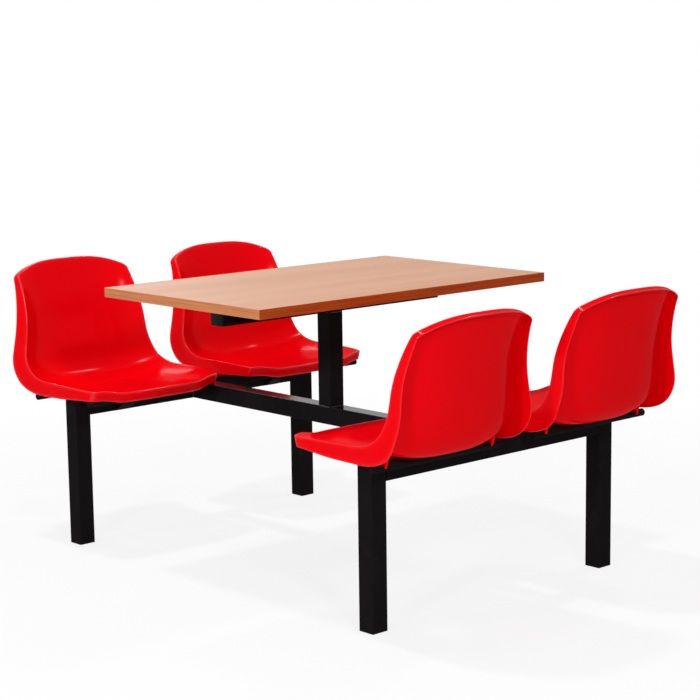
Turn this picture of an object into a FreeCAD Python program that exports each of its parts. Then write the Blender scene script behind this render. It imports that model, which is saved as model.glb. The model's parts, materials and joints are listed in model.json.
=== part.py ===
"""Four-seat canteen table: a laminate top on one steel frame that also carries four moulded seats.

Frame of the model: millimetres, +Z up, origin on the floor at the middle of the table.
X runs along the table, Y across it. Two seats stand on each long side and face the table.
"""
import FreeCAD
import Part
import math
import os
from FreeCAD import Vector

# ---------------------------------------------------------------- driving dimensions
TABLE_LENGTH = 1035.0
TABLE_WIDTH = 645.0
TABLE_HEIGHT = 770.0
TABLE_THICKNESS = 25.0
LAMINATE = 0.8             # decorative sheet above the board, balancing sheet below it
EDGE_BAND = 2.0

TUBE = 50.0                # every member of the frame is the same square tube
TUBE_WALL = 2.5
TUBE_CORNER = 3.0
LEG_X = 419.0              # leg centres
LEG_Y = 610.0
BEAM_BOTTOM = 372.0        # underside of the seat beams and of the spine
BEAM_TOP = BEAM_BOTTOM + TUBE

RAIL_LENGTH = 784.0
BEARER_THICKNESS = 10.0    # flat bars between the rail and the board
BEARER_WIDTH = 50.0
BEARER_LENGTH = 500.0
BEARER_X = (-330.0, 0.0, 330.0)
RAIL_TOP = TABLE_HEIGHT - TABLE_THICKNESS - BEARER_THICKNESS
RAIL_BOTTOM = RAIL_TOP - TUBE
BOARD_SCREW_Y = (60.0, 225.0)
BOARD_SCREW_RADIUS = 2.5
BOARD_SCREW_DEPTH = 16.0
SCREW_HEAD_RADIUS = 4.6        # hexagon heads, over the corners
SCREW_HEAD_HEIGHT = 3.5

FOOT_FLANGE = 3.0          # plastic feet and end caps: flange outside, plug inside the tube
CAP_FLANGE = 2.5
PLUG_DEPTH = 20.0
BEAD_RADIUS = 3.0          # weld beads

# Seat places. "Forward" is towards the table and is counted from the seat datum.
SEAT_PITCH = 562.0         # between the two seats of one side
SEAT_DATUM_Y = 580.0
ROD_RADIUS = 10.0
ROD_HALF_LENGTH = 217.0
REAR_ROD = (-114.0, 425.0)     # forward, height of the rod's centre
FRONT_ROD = (136.0, 434.0)
ARM_WIDTH = 50.0               # flat bar that joins the rods to the beam
ARM_THICKNESS = 6.0
STAY_THICKNESS = 5.0           # diagonal strap below the arm
STAY_ANGLE = math.radians(34.0)

# Moulded seat: how far forward and how high the centre line and the rim run, station by station
# from the front edge to the top of the back, and the skirt that hangs from the rim there.
WALL = 4.0
SKIRT_WALL = 3.2
FRONT_CORNER = 10.0
SHOULDER_CORNER = 12.0
SEAT_STATIONS = (
    # centre line       rim: half width, forward, height   skirt: outward, forward, up
    ((193.0, 461.0), (218.0, 163.0, 471.0), (1.0, -10.0, -29.0)),
    ((133.0, 455.0), (226.0, 109.0, 474.0), (1.0, -12.0, -33.0)),
    ((63.0, 447.0), (228.0, 48.0, 476.0), (1.0, -15.0, -40.0)),
    ((-24.0, 442.0), (227.0, -35.0, 477.0), (1.0, -30.0, -44.0)),
    ((-100.0, 439.0), (227.0, -90.0, 482.0), (2.0, -46.0, -43.0)),
    ((-152.0, 441.0), (225.0, -133.0, 501.0), (6.0, -55.0, -35.0)),
    ((-192.0, 463.0), (221.0, -155.0, 529.0), (11.0, -55.0, -22.0)),
    ((-217.0, 520.0), (213.0, -164.0, 565.0), (10.0, -53.0, -12.0)),
    ((-229.0, 600.0), (204.0, -169.0, 627.0), (9.0, -46.0, -5.0)),
    ((-244.0, 699.0), (194.0, -197.0, 709.0), (6.0, -34.0, -5.0)),
    ((-266.0, 796.0), (192.0, -230.0, 759.0), (2.0, -20.0, -7.0)),
)
SPAN_STEPS = (1, 1, 1, 1, 2, 3, 3, 2, 1, 1)    # rows of faces between one station and the next
PAN_END = 0.5                  # the pan lies in this first share of the seat's length
BOWL_POWER = 3.0               # how flat the middle of a cross-section is
LAND_END = 0.2                 # the flat lands in the front corners end at this share of the length
LAND_SLOPE = (0.55, 0.88)      # a land's slope into the pan, as shares of the half width
ACROSS_STEPS = (0.3, 0.58, 0.72, 0.86, 1.0)    # where facets meet, as shares of the half width
FLATNESS = 1e-6                # four points within this distance of a plane make one facet
ROLL = 6.0                     # size of the rolled edge between the sheet and the skirt
LUG_OFFSET = 184.0             # lugs that grip the rods, from the middle of the seat
LUG_WIDTH = 14.0
LUG_HALF_LENGTH = 16.0
LUG_GRIP = 5.0                 # how far the lug reaches below the rod's centre

NODES = {}


def save(node, shape):
    """Keep one sub-part under its node name."""
    NODES[node] = shape


def box(x, y, z):
    """A block given by its spans along X, Y and Z."""
    corner = Vector(x[0], y[0], z[0])
    return Part.makeBox(x[1] - x[0], y[1] - y[0], z[1] - z[0], corner)


def cylinder(radius, start, end):
    """A round bar between two points."""
    along = end - start
    return Part.makeCylinder(radius, along.Length, start, along)


def hexagon_bar(radius, base, length):
    """A six-sided bar that stands on a point."""
    corners = []
    for i in range(6):
        turn = math.radians(60 * i)
        corners.append(base + Vector(radius * math.cos(turn), radius * math.sin(turn), 0))
    return extrude_polygon(corners, Vector(0, 0, length))


def polygon_face(points):
    """A flat face inside the closed polygon."""
    return Part.Face(Part.makePolygon(list(points) + [points[0]]))


def extrude_polygon(points, along):
    """A prism: the closed polygon swept along a vector."""
    return polygon_face(points).extrude(along)


# ---------------------------------------------------------------- square tube and its fittings
def square_wire(half, corner):
    """A square outline with rounded corners in the XY plane."""
    flat = half - corner
    diagonal = corner * math.sqrt(0.5)
    edges = []
    for turn in range(4):
        side = Part.makeLine(Vector(half, -flat, 0), Vector(half, flat, 0))
        middle = Vector(flat + diagonal, flat + diagonal, 0)
        arc = Part.Arc(Vector(half, flat, 0), middle, Vector(flat, half, 0)).toShape()
        for edge in (side, arc):
            edge.rotate(Vector(0, 0, 0), Vector(0, 0, 1), 90 * turn)
            edges.append(edge)
    return Part.Wire(Part.__sortEdges__(edges))


def place_along(shape, start, direction):
    """Move a shape made along +Z at the origin so that it starts at a point and runs along an axis."""
    turn = FreeCAD.Rotation(Vector(0, 0, 1), direction)
    shape.Placement = FreeCAD.Placement(start, turn)
    return shape


def square_bar(half, corner, length):
    """A solid square bar with rounded long edges, standing on the origin."""
    return Part.Face(square_wire(half, corner)).extrude(Vector(0, 0, length))


def square_block(half, length):
    """A solid bar with sharp edges, standing on the origin: a tube's bore, or a plug."""
    return box((-half, half), (-half, half), (0, length))


def square_tube(start, direction, length):
    """A hollow square tube with rounded corners."""
    outer = square_bar(TUBE / 2, TUBE_CORNER, length)
    bore = square_block(TUBE / 2 - TUBE_WALL, length)
    return place_along(outer.cut(bore), start, direction)


def tube_plug(start, direction, flange):
    """A moulded insert: a flange over the tube's end and a plug inside it, with a hollow back."""
    cover = square_bar(TUBE / 2, TUBE_CORNER, flange)
    bore = TUBE / 2 - TUBE_WALL
    plug = square_block(bore, PLUG_DEPTH).cut(square_block(bore - TUBE_WALL, PLUG_DEPTH))
    plug.translate(Vector(0, 0, flange))
    return place_along(cover.fuse(plug).removeSplitter(), start, direction)


# ---------------------------------------------------------------- table top
def table_top():
    """Chipboard core, decorative and balancing laminates, and four edge bands."""
    top = TABLE_HEIGHT
    bottom = TABLE_HEIGHT - TABLE_THICKNESS
    half_x = TABLE_LENGTH / 2 - EDGE_BAND
    half_y = TABLE_WIDTH / 2 - EDGE_BAND
    across_x = (-half_x, half_x)
    across_y = (-half_y, half_y)
    save("board_core", box(across_x, across_y, (bottom + LAMINATE, top - LAMINATE)))
    save("board_top_laminate", box(across_x, across_y, (top - LAMINATE, top)))
    save("board_balancing_laminate", box(across_x, across_y, (bottom, bottom + LAMINATE)))
    for name, sign in (("left", 1), ("right", -1)):
        span = sorted((sign * half_y, sign * (half_y + EDGE_BAND)))
        full = (-half_x - EDGE_BAND, half_x + EDGE_BAND)
        save("edge_band_long_" + name, soften(box(full, span, (bottom, top))))
    for name, sign in (("front", -1), ("rear", 1)):
        span = sorted((sign * half_x, sign * (half_x + EDGE_BAND)))
        save("edge_band_short_" + name, soften(box(span, across_y, (bottom, top))))


def soften(band):
    """Break the two long outer edges of an edge band."""
    bounds = band.BoundBox
    long_side = max(bounds.XLength, bounds.YLength)
    outer = max(abs(bounds.XMax), abs(bounds.XMin))
    along_y = bounds.YLength > bounds.XLength
    if not along_y:
        outer = max(abs(bounds.YMax), abs(bounds.YMin))
    chosen = []
    for edge in band.Edges:
        centre = edge.CenterOfMass
        reach = abs(centre.x) if along_y else abs(centre.y)
        if abs(edge.Length - long_side) < 0.1 and abs(reach - outer) < 0.1:
            chosen.append(edge)
    return band.makeFillet(EDGE_BAND / 2, chosen)


def board_screw_places():
    """Where the screws pass through the bearers into the board."""
    places = []
    for x in BEARER_X:
        for y in BOARD_SCREW_Y:
            places.append((x, y))
            places.append((x, -y))
    return places


def board_support():
    """Rail under the board, its end caps, the flat bearers and their screws."""
    middle = (RAIL_BOTTOM + RAIL_TOP) / 2
    start = Vector(-RAIL_LENGTH / 2, 0, middle)
    save("table_rail", square_tube(start, Vector(1, 0, 0), RAIL_LENGTH))
    for name, sign in (("front", -1), ("rear", 1)):
        tip = Vector(sign * (RAIL_LENGTH / 2 + CAP_FLANGE), 0, middle)
        save("rail_cap_" + name, tube_plug(tip, Vector(-sign, 0, 0), CAP_FLANGE))
    under = TABLE_HEIGHT - TABLE_THICKNESS
    shank_length = SCREW_HEAD_HEIGHT + BEARER_THICKNESS + BOARD_SCREW_DEPTH
    screws = []
    for x, y in board_screw_places():
        base = Vector(x, y, RAIL_TOP - SCREW_HEAD_HEIGHT)
        head = hexagon_bar(SCREW_HEAD_RADIUS, base, SCREW_HEAD_HEIGHT)
        shank = hexagon_bar(BOARD_SCREW_RADIUS, base, shank_length)
        screws.append(head.fuse(shank))
    for name, x in zip(("front", "middle", "rear"), BEARER_X):
        span_x = (x - BEARER_WIDTH / 2, x + BEARER_WIDTH / 2)
        span_y = (-BEARER_LENGTH / 2, BEARER_LENGTH / 2)
        bearer = box(span_x, span_y, (RAIL_TOP, under))
        corners = [edge for edge in bearer.Edges if abs(edge.Length - BEARER_THICKNESS) < 0.1]
        bearer = bearer.makeFillet(TUBE_CORNER, corners)
        save("bearer_" + name, bearer.cut(Part.makeCompound(screws)))
    for node in ("board_core", "board_balancing_laminate"):
        save(node, NODES[node].cut(Part.makeCompound(screws)))
    save("board_screws", Part.makeCompound(screws))


# ---------------------------------------------------------------- frame
def frame():
    """Four legs, two seat beams, the spine between them, the post and the weld beads."""
    half = TUBE / 2
    leg_bottom = FOOT_FLANGE
    leg_top = BEAM_TOP - CAP_FLANGE
    for side, sign_y in (("left", 1), ("right", -1)):
        for end, sign_x in (("front", -1), ("rear", 1)):
            place = Vector(sign_x * LEG_X, sign_y * LEG_Y, 0)
            base = place + Vector(0, 0, leg_bottom)
            name = side + "_" + end
            save("leg_" + name, square_tube(base, Vector(0, 0, 1), leg_top - leg_bottom))
            save("foot_" + name, tube_plug(place, Vector(0, 0, 1), FOOT_FLANGE))
    middle = BEAM_BOTTOM + half
    span = 2 * (LEG_X - half)
    for side, sign_y in (("left", 1), ("right", -1)):
        start = Vector(-span / 2, sign_y * LEG_Y, middle)
        save("seat_beam_" + side, square_tube(start, Vector(1, 0, 0), span))
    reach = LEG_Y - half
    save("spine", square_tube(Vector(0, -reach, middle), Vector(0, 1, 0), 2 * reach))
    save("post", square_tube(Vector(0, 0, BEAM_TOP), Vector(0, 0, 1), RAIL_BOTTOM - BEAM_TOP))
    caps = []
    for sign_x in (-1, 1):
        for sign_y in (-1, 1):
            tip = Vector(sign_x * LEG_X, sign_y * LEG_Y, BEAM_TOP)
            caps.append(tube_plug(tip, Vector(0, 0, -1), CAP_FLANGE))
    save("leg_top_caps", Part.makeCompound(caps))
    save("weld_beads", Part.makeCompound(weld_beads(reach)))


def corner_bead(start, end, first_wall, second_wall):
    """A fillet weld: a triangular prism that lies in the corner between two walls."""
    size = BEAD_RADIUS * 1.5
    points = (start, start + first_wall * size, start + second_wall * size)
    return extrude_polygon(points, end - start)


def flush_bead(start, end, outward):
    """A weld over a flush joint: half of a round bar lying on the wall."""
    along = end - start
    bar = Part.makeCylinder(BEAD_RADIUS, along.Length, start, along)
    keep = Part.makeBox(2 * TUBE, 2 * TUBE, 2 * TUBE, Vector(-TUBE, -TUBE, 0))
    keep = place_along(keep, (start + end) * 0.5, outward)
    return bar.common(keep)


def weld_beads(reach):
    """Beads at the foot and head of the post and at both ends of the spine."""
    half = TUBE / 2
    run = half - TUBE_CORNER
    x_axis = Vector(1, 0, 0)
    y_axis = Vector(0, 1, 0)
    z_axis = Vector(0, 0, 1)
    beads = []
    for sign in (-1, 1):
        out_x = x_axis * sign
        out_y = y_axis * sign
        foot = Vector(0, sign * half, BEAM_TOP)
        beads.append(corner_bead(foot - x_axis * run, foot + x_axis * run, out_y, z_axis))
        foot = Vector(sign * half, 0, BEAM_TOP)
        beads.append(flush_bead(foot - y_axis * run, foot + y_axis * run, out_x))
        head = Vector(sign * half, 0, RAIL_BOTTOM)
        beads.append(corner_bead(head - y_axis * run, head + y_axis * run, out_x, z_axis * -1))
        head = Vector(0, sign * half, RAIL_BOTTOM)
        beads.append(flush_bead(head - x_axis * run, head + x_axis * run, out_y))
        for side in (-1, 1):
            low = Vector(side * half, sign * reach, BEAM_BOTTOM + TUBE_CORNER)
            high = Vector(side * half, sign * reach, BEAM_TOP - TUBE_CORNER)
            beads.append(corner_bead(low, high, x_axis * side, out_y * -1))
    return beads


# ---------------------------------------------------------------- moulded seat
def station_parameters():
    """Station positions from 0 to 1, by the mean distance along the centre line and the rim."""
    places = [0.0]
    for before, after in zip(SEAT_STATIONS, SEAT_STATIONS[1:]):
        centre_step = math.dist(before[0], after[0])
        rim_step = math.dist(before[1][1:], after[1][1:])
        places.append(places[-1] + (centre_step + rim_step) / 2)
    return [place / places[-1] for place in places], places[-1]


def through_stations(vectors, parameters):
    """A smooth curve through one vector per station."""
    curve = Part.BSplineCurve()
    curve.interpolate(Points=vectors, Parameters=parameters)
    return curve


def unit(vector):
    """The vector scaled to length 1."""
    return Vector(vector).normalize()


def smooth_step(value, low, high):
    """0 below low, 1 above high, and a smooth slope between."""
    share = max(0.0, min(1.0, (value - low) / (high - low)))
    return share * share * (3 - 2 * share)


class SeatForm:
    """The moulded sheet as a function of two numbers.

    across runs from -1 to 1 between the side rims, and along from 0 at the front edge to 1 at the
    top of the back. A cross-section starts flat at the centre line and bends to the rim with the
    cube of the distance. Towards the front edge its height turns into a flat pan, a slope and a
    flat land, so that the bowl ends in rounded corners inside the square corners of the seat.
    """

    def __init__(self):
        self.parameters, self.length = station_parameters()
        centre = [Vector(0, row[0][0], row[0][1]) for row in SEAT_STATIONS]
        rim = [Vector(*row[1]) for row in SEAT_STATIONS]
        skirt = [Vector(*row[2]) for row in SEAT_STATIONS]
        self.centre = through_stations(centre, self.parameters)
        self.rim = through_stations(rim, self.parameters)
        self.skirt = through_stations(skirt, self.parameters)

    def sheet(self, across, along):
        """A point of the sitter's side of the sheet."""
        centre = self.centre.value(along)
        rim = self.rim.value(along)
        bowl = abs(across) ** BOWL_POWER
        land = smooth_step(abs(across), *LAND_SLOPE)
        near_front = 1 - smooth_step(along, 0, LAND_END)
        lift = bowl + (land - bowl) * near_front
        forward = centre.y + (rim.y - centre.y) * bowl
        return Vector(across * rim.x, forward, centre.z + (rim.z - centre.z) * lift)

    def normal(self, across, along):
        """The sheet's unit normal, towards the sitter."""
        step = 0.001
        across = max(step - 1, min(1 - step, across))
        along = max(step, min(1 - step, along))
        over = self.sheet(across + step, along) - self.sheet(across - step, along)
        up = self.sheet(across, along + step) - self.sheet(across, along - step)
        return unit(up.cross(over))

    def inset(self, across, along, distance):
        """The place that lies a given distance further in from all the edges."""
        half_width = self.rim.value(along).x
        along_scale = 1 - 2 * distance / self.length
        return across * (1 - distance / half_width), 0.5 + (along - 0.5) * along_scale

    def sitter_side(self, across, along):
        """The sheet's point at a place of the grid: the grid ends where the rolled edge starts."""
        return self.sheet(*self.inset(across, along, ROLL))

    def under_side(self, across, along):
        """The point below it, one wall away: this grid ends at the skirt's inner face."""
        across, along = self.inset(across, along, SKIRT_WALL)
        return self.sheet(across, along) - self.normal(across, along) * WALL

    def edge_points(self, across, along):
        """Points round the rolled edge and the skirt, from the sitter's side to the under side."""
        start = self.sitter_side(across, along)
        corner = self.sheet(across, along)
        drop = self.skirt.value(along)
        drop = Vector(drop.x * across, drop.y, drop.z)
        down = unit(drop)
        inward = unit(start - corner)
        square_in = unit(inward - down * inward.dot(down))
        roll_end = corner + down * ROLL
        roll_middle = (start + corner * 2 + roll_end) / 4
        hem = corner + drop
        inner_hem = hem + square_in * SKIRT_WALL
        return start, roll_middle, roll_end, hem, inner_hem, self.under_side(across, along)

    def along_of(self, across, forward):
        """Where along the seat pan the sheet passes a given forward distance."""
        low, high = 0.0, PAN_END
        while high - low > 1e-6:
            middle = (low + high) / 2
            if self.sheet(across, middle).y > forward:
                low = middle
            else:
                high = middle
        return low


def corner_trim(distance, radius):
    """How much a rounded corner takes off the half width at a distance from the seat's end."""
    missing = max(0.0, radius - distance)
    return radius - math.sqrt(radius ** 2 - missing ** 2)


def seat_grid(form):
    """The places where faces of the shell meet: rows from front to top, ten places in each.

    Each row is three lists of places: the left side, the flat middle and the right side. Rows lie
    at the stations, with more of them in the bend between seat and back and in both corners.
    """
    rows = []
    for turn in (0, 30, 60):
        rows.append(FRONT_CORNER * (1 - math.cos(math.radians(turn))) / form.length)
    spans = zip(form.parameters, form.parameters[1:], SPAN_STEPS)
    for start, end, steps in spans:
        for step in range(1, steps + 1):
            rows.append(start + (end - start) * step / steps)
    rows.pop()
    for turn in (60, 30, 0):
        rows.append(1 - SHOULDER_CORNER * (1 - math.cos(math.radians(turn))) / form.length)
    grid = []
    for along in rows:
        trim = corner_trim(along * form.length, FRONT_CORNER)
        trim += corner_trim((1 - along) * form.length, SHOULDER_CORNER)
        reach = 1 - trim / form.rim.value(along).x
        right = [(share * reach, along) for share in ACROSS_STEPS]
        left = [(-across, along) for across, along in reversed(right)]
        grid.append((left, [left[-1], right[0]], right))
    return grid


def facets(lines):
    """Flat faces between each line of points and the next, split along the shorter diagonal."""
    faces = []
    for before, after in zip(lines, lines[1:]):
        for a, b, c, d in zip(before, before[1:], after[1:], after):
            across = unit((b - a).cross(d - a))
            if abs(across.dot(c - a)) < FLATNESS:
                outlines = [[a, b, c, d]]
            elif a.distanceToPoint(c) < b.distanceToPoint(d):
                outlines = [[a, b, c], [a, c, d]]
            else:
                outlines = [[a, b, d], [b, c, d]]
            faces += [polygon_face(outline) for outline in outlines]
    return faces


def closed_solid(faces):
    """Sew faces into a solid whose faces point outwards."""
    solid = Part.Solid(Part.Shell(faces))
    if solid.Volume < 0:
        solid.reverse()
    return solid


def seat_shell():
    """The thin shell: sheet, rolled edge, skirt, hem, and the same again one wall inside."""
    form = SeatForm()
    grid = seat_grid(form)
    faces = []
    for column in range(3):
        for surface in (form.sitter_side, form.under_side):
            lines = [[surface(*place) for place in row[column]] for row in grid]
            faces += facets(lines)
    edge_runs = list(grid[0]) + list(grid[-1])
    for before, after in zip(grid, grid[1:]):
        edge_runs.append([before[0][0], after[0][0]])
        edge_runs.append([before[2][-1], after[2][-1]])
    for run in edge_runs:
        profiles = [form.edge_points(*place) for place in run]
        faces += facets(list(zip(*profiles)))
    shell = closed_solid(faces)
    for forward, height in (REAR_ROD, FRONT_ROD):
        for middle in (-LUG_OFFSET, LUG_OFFSET):
            shell = shell.fuse(rod_lug(form, middle, forward, height))
    return shell


def rod_lug(form, middle, forward, height):
    """A moulded lug: it hangs from the sheet and its two prongs straddle a rod.

    Its top follows the middle of the sheet's wall, so that the two join without showing inside.
    """
    low = height - LUG_GRIP
    corners = []
    for x, y in ((-1, -1), (1, -1), (1, 1), (-1, 1)):
        corner_x = middle + x * LUG_WIDTH / 2
        corner_y = forward + y * LUG_HALF_LENGTH
        across = corner_x / form.rim.value(form.along_of(0, corner_y)).x
        along = form.along_of(across, corner_y)
        wall_middle = form.sheet(across, along) - form.normal(across, along) * WALL / 2
        corners.append((Vector(corner_x, corner_y, low), Vector(corner_x, corner_y, wall_middle.z)))
    bottoms = [bottom for bottom, top in corners]
    tops = [top for bottom, top in corners]
    outlines = [bottoms, tops[:3], [tops[0], tops[2], tops[3]]]
    for i in range(4):
        following = (i + 1) % 4
        outlines.append([bottoms[i], bottoms[following], tops[following], tops[i]])
    lug = closed_solid([polygon_face(outline) for outline in outlines])
    slot_start = Vector(middle - LUG_WIDTH, forward, height)
    slot = cylinder(ROD_RADIUS, slot_start, slot_start + Vector(2 * LUG_WIDTH, 0, 0))
    mouth = box(
        (middle - LUG_WIDTH, middle + LUG_WIDTH),
        (forward - ROD_RADIUS, forward + ROD_RADIUS), (low - LUG_GRIP, height))
    return lug.cut(slot).cut(mouth)


def seat_pieces():
    """All the pieces of one seat in its own frame: X across, Y forward, Z up."""
    pieces = {"shell": seat_shell()}
    rods = {}
    for name, (forward, height) in (("rear", REAR_ROD), ("front", FRONT_ROD)):
        start = Vector(-ROD_HALF_LENGTH, forward, height)
        end = Vector(ROD_HALF_LENGTH, forward, height)
        rods[name] = cylinder(ROD_RADIUS, start, end)
        pieces[name + "_rod"] = rods[name]
    pieces["arm"], pieces["stay"] = arm_and_stay(rods)
    return pieces


def arm_and_stay(rods):
    """The flat bar across the beam, coped round both rods, and the diagonal strap below it."""
    beam_front = LEG_Y - TUBE / 2
    bend = SEAT_DATUM_Y - beam_front
    rear, front = REAR_ROD, FRONT_ROD
    under_front = front[1] - ARM_THICKNESS / 2
    slope = (under_front - BEAM_TOP) / (front[0] - bend)
    side = -ARM_WIDTH / 2
    lower = (
        Vector(side, rear[0], BEAM_TOP),
        Vector(side, bend, BEAM_TOP),
        Vector(side, front[0], under_front),
    )
    upper = [point + Vector(0, 0, ARM_THICKNESS) for point in reversed(lower)]
    arm = extrude_polygon(list(lower) + upper, Vector(ARM_WIDTH, 0, 0))
    arm = arm.cut(rods["rear"]).cut(rods["front"])
    arm = max(arm.Solids, key=lambda solid: solid.Volume)

    rise = math.tan(STAY_ANGLE)
    lift = STAY_THICKNESS / math.cos(STAY_ANGLE)
    lower_run = TUBE / (rise - slope)
    upper_run = (TUBE - lift) / (rise - slope)
    stay = (
        Vector(side, bend, BEAM_BOTTOM),
        Vector(side, bend + lower_run, BEAM_TOP + slope * lower_run),
        Vector(side, bend + upper_run, BEAM_TOP + slope * upper_run),
        Vector(side, bend, BEAM_BOTTOM + lift),
    )
    return arm, extrude_polygon(stay, Vector(ARM_WIDTH, 0, 0))


def seats():
    """Four equal seats. Those on the left side are turned round to face the table."""
    pieces = seat_pieces()
    for side, sign_y in (("left", 1), ("right", -1)):
        for end, sign_x in (("front", -1), ("rear", 1)):
            place = Vector(sign_x * SEAT_PITCH / 2, sign_y * SEAT_DATUM_Y, 0)
            turn = FreeCAD.Rotation(Vector(0, 0, 1), 180 if sign_y > 0 else 0)
            for name, shape in pieces.items():
                placed = shape.copy()
                placed.Placement = FreeCAD.Placement(place, turn)
                save("seat_" + side + "_" + end + "_" + name, placed)


def main():
    table_top()
    board_support()
    frame()
    seats()
    os.makedirs("parts", exist_ok=True)
    for node, shape in NODES.items():
        shape.exportStep(os.path.join("parts", node + ".step"))
    print(len(NODES), "nodes")


main()
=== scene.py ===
# %% [markdown]
# # A canteen table with four fixed seats
#
# One welded steel frame carries a laminate table top and four moulded bucket seats. The steel
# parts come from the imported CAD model, which is loaded as a fixed frame, and keep their shape.
# What Blender adds is what CAD leaves plain: the flowing seat shells, rippled weld beads, broken
# edges, and materials that behave like plastic, powder coat and laminate.

# %% Load the frame
import json
import math

import bmesh
import bpy
import numpy as np
from mathutils import Matrix, Vector


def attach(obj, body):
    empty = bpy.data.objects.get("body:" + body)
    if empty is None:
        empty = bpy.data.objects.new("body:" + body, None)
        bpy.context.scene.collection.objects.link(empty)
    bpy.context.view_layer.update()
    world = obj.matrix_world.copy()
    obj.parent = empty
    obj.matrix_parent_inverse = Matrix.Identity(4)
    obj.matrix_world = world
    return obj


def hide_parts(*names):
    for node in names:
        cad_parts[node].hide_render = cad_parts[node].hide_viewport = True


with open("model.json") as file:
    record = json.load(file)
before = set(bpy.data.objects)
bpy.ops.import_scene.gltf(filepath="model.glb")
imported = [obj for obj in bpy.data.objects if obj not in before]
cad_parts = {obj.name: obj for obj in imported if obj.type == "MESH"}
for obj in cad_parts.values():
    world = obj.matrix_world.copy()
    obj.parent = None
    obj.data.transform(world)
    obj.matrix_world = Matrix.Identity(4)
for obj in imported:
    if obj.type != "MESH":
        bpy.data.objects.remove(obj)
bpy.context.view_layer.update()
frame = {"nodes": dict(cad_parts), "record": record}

MM = 0.001
nodes = frame["nodes"]

# %% [markdown]
# ## The camera
#
# The table is seen from standing height, from beyond one corner and a good five metres away, so
# a long lens is needed. The view is given as a heading, a downward pitch and a slight roll, and
# three unit vectors worked out from them fill the camera's matrix. This is safer than Euler
# angles, because each column can be read as right, up and backwards.

# %% Camera
FRAME_PIXELS = 700
SENSOR_MM = 36.0
FOCAL_PIXELS = 1959.5
AXIS_PIXEL = (400.9, 377.4)            # where the lens axis meets the picture
CAMERA_PLACE = Vector((-3.5496, -3.9678, 1.4230))
HEADING, PITCH, ROLL = 0.7661, 0.1722, -0.0090      # radians


def camera_matrix(place, heading, pitch, roll):
    """Columns: right, up and back. Forward is the heading turned down by the pitch."""
    forward = Vector((math.sin(heading) * math.cos(pitch),
                      math.cos(heading) * math.cos(pitch), -math.sin(pitch)))
    level_right = Vector((math.cos(heading), -math.sin(heading), 0.0))
    level_up = level_right.cross(forward)
    right = level_right * math.cos(roll) + level_up * math.sin(roll)
    up = level_up * math.cos(roll) - level_right * math.sin(roll)
    turn = Matrix((right, up, -forward)).transposed()
    return Matrix.Translation(place) @ turn.to_4x4()


lens = bpy.data.cameras.new("studio_camera")
lens.sensor_width = SENSOR_MM
lens.lens = SENSOR_MM * FOCAL_PIXELS / FRAME_PIXELS
lens.shift_x = (FRAME_PIXELS / 2 - AXIS_PIXEL[0]) / FRAME_PIXELS
lens.shift_y = (AXIS_PIXEL[1] - FRAME_PIXELS / 2) / FRAME_PIXELS
lens.clip_end = 100.0
camera = bpy.data.objects.new("studio_camera", lens)
camera.matrix_world = camera_matrix(CAMERA_PLACE, HEADING, PITCH, ROLL)
bpy.context.scene.collection.objects.link(camera)
bpy.context.scene.camera = camera
print("lens", round(lens.lens, 1), "mm")

# %% [markdown]
# ## Shader maths
#
# A procedural material is a small formula. Writing it node by node hides the formula, so one
# class wraps an output socket and lets Python's operators add the Math nodes. A second class
# owns a material's node tree and adds every other node from a type, its settings and its inputs.

# %% Wires and recipes
class Wire:
    """The output of a node. Adding to it, subtracting or multiplying adds a Math node."""

    def __init__(self, recipe, socket):
        self.recipe = recipe
        self.socket = socket

    def combine(self, operation, first, second):
        return self.recipe.add("ShaderNodeMath", {"operation": operation}, {0: first, 1: second})

    def __add__(self, other):
        return self.combine("ADD", self, other)

    def __radd__(self, other):
        return self.combine("ADD", other, self)

    def __sub__(self, other):
        return self.combine("SUBTRACT", self, other)

    def __rsub__(self, other):
        return self.combine("SUBTRACT", other, self)

    def __mul__(self, other):
        return self.combine("MULTIPLY", self, other)

    def __rmul__(self, other):
        return self.combine("MULTIPLY", other, self)


class Recipe:
    """The nodes of one material or of the world."""

    def __init__(self, owner, shader="Principled BSDF"):
        owner.use_nodes = True
        self.owner = owner
        self.tree = owner.node_tree
        self.shader = self.tree.nodes[shader]

    @property
    def place(self):
        """The point being shaded, in metres from the model's origin."""
        return self.add("ShaderNodeTexCoord", output="Object")

    def add(self, kind, settings=None, inputs=None, output=0):
        """Adds a node of a kind: its settings first, then values or wires for its sockets."""
        node = self.tree.nodes.new(kind)
        for key, value in (settings or {}).items():
            setattr(node, key, value)
        for key, value in (inputs or {}).items():
            self.feed(node.inputs[key], value)
        return Wire(self, node.outputs[output])

    def feed(self, socket, value):
        """Links a wire to a socket, or sets the socket's own value."""
        if isinstance(value, Wire):
            self.tree.links.new(value.socket, socket)
        else:
            socket.default_value = value

    def noise(self, scale, detail=2.0, stretch=(1.0, 1.0, 1.0), roughness=0.5):
        """Noise from 0 to 1. The scale counts features per metre, times stretch on each axis."""
        stretched = self.add("ShaderNodeMapping", None, {"Vector": self.place, "Scale": stretch})
        return self.add("ShaderNodeTexNoise", None, {
            "Vector": stretched, "Scale": scale, "Detail": detail, "Roughness": roughness})

    def step(self, value, low, high):
        """0 below low, 1 above high and a smooth slope between."""
        return self.add("ShaderNodeMapRange", {"interpolation_type": "SMOOTHSTEP"}, {
            "Value": value, "From Min": low, "From Max": high})

    def mix(self, first, second, factor):
        """A blend of two colours."""
        return self.add("ShaderNodeMix", {"data_type": "RGBA"}, {
            0: factor, 6: first, 7: second}, output=2)

    def bump(self, height, distance):
        """A surface normal from a height field; the distance is the height in metres."""
        return self.add("ShaderNodeBump", None, {
            "Height": height, "Distance": distance, "Strength": 1.0})

    def finish(self, **sockets):
        """Feeds the shader: underscores in a name stand for spaces."""
        for name, value in sockets.items():
            self.feed(self.shader.inputs[name.replace("_", " ")], value)
        return self.owner


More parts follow.
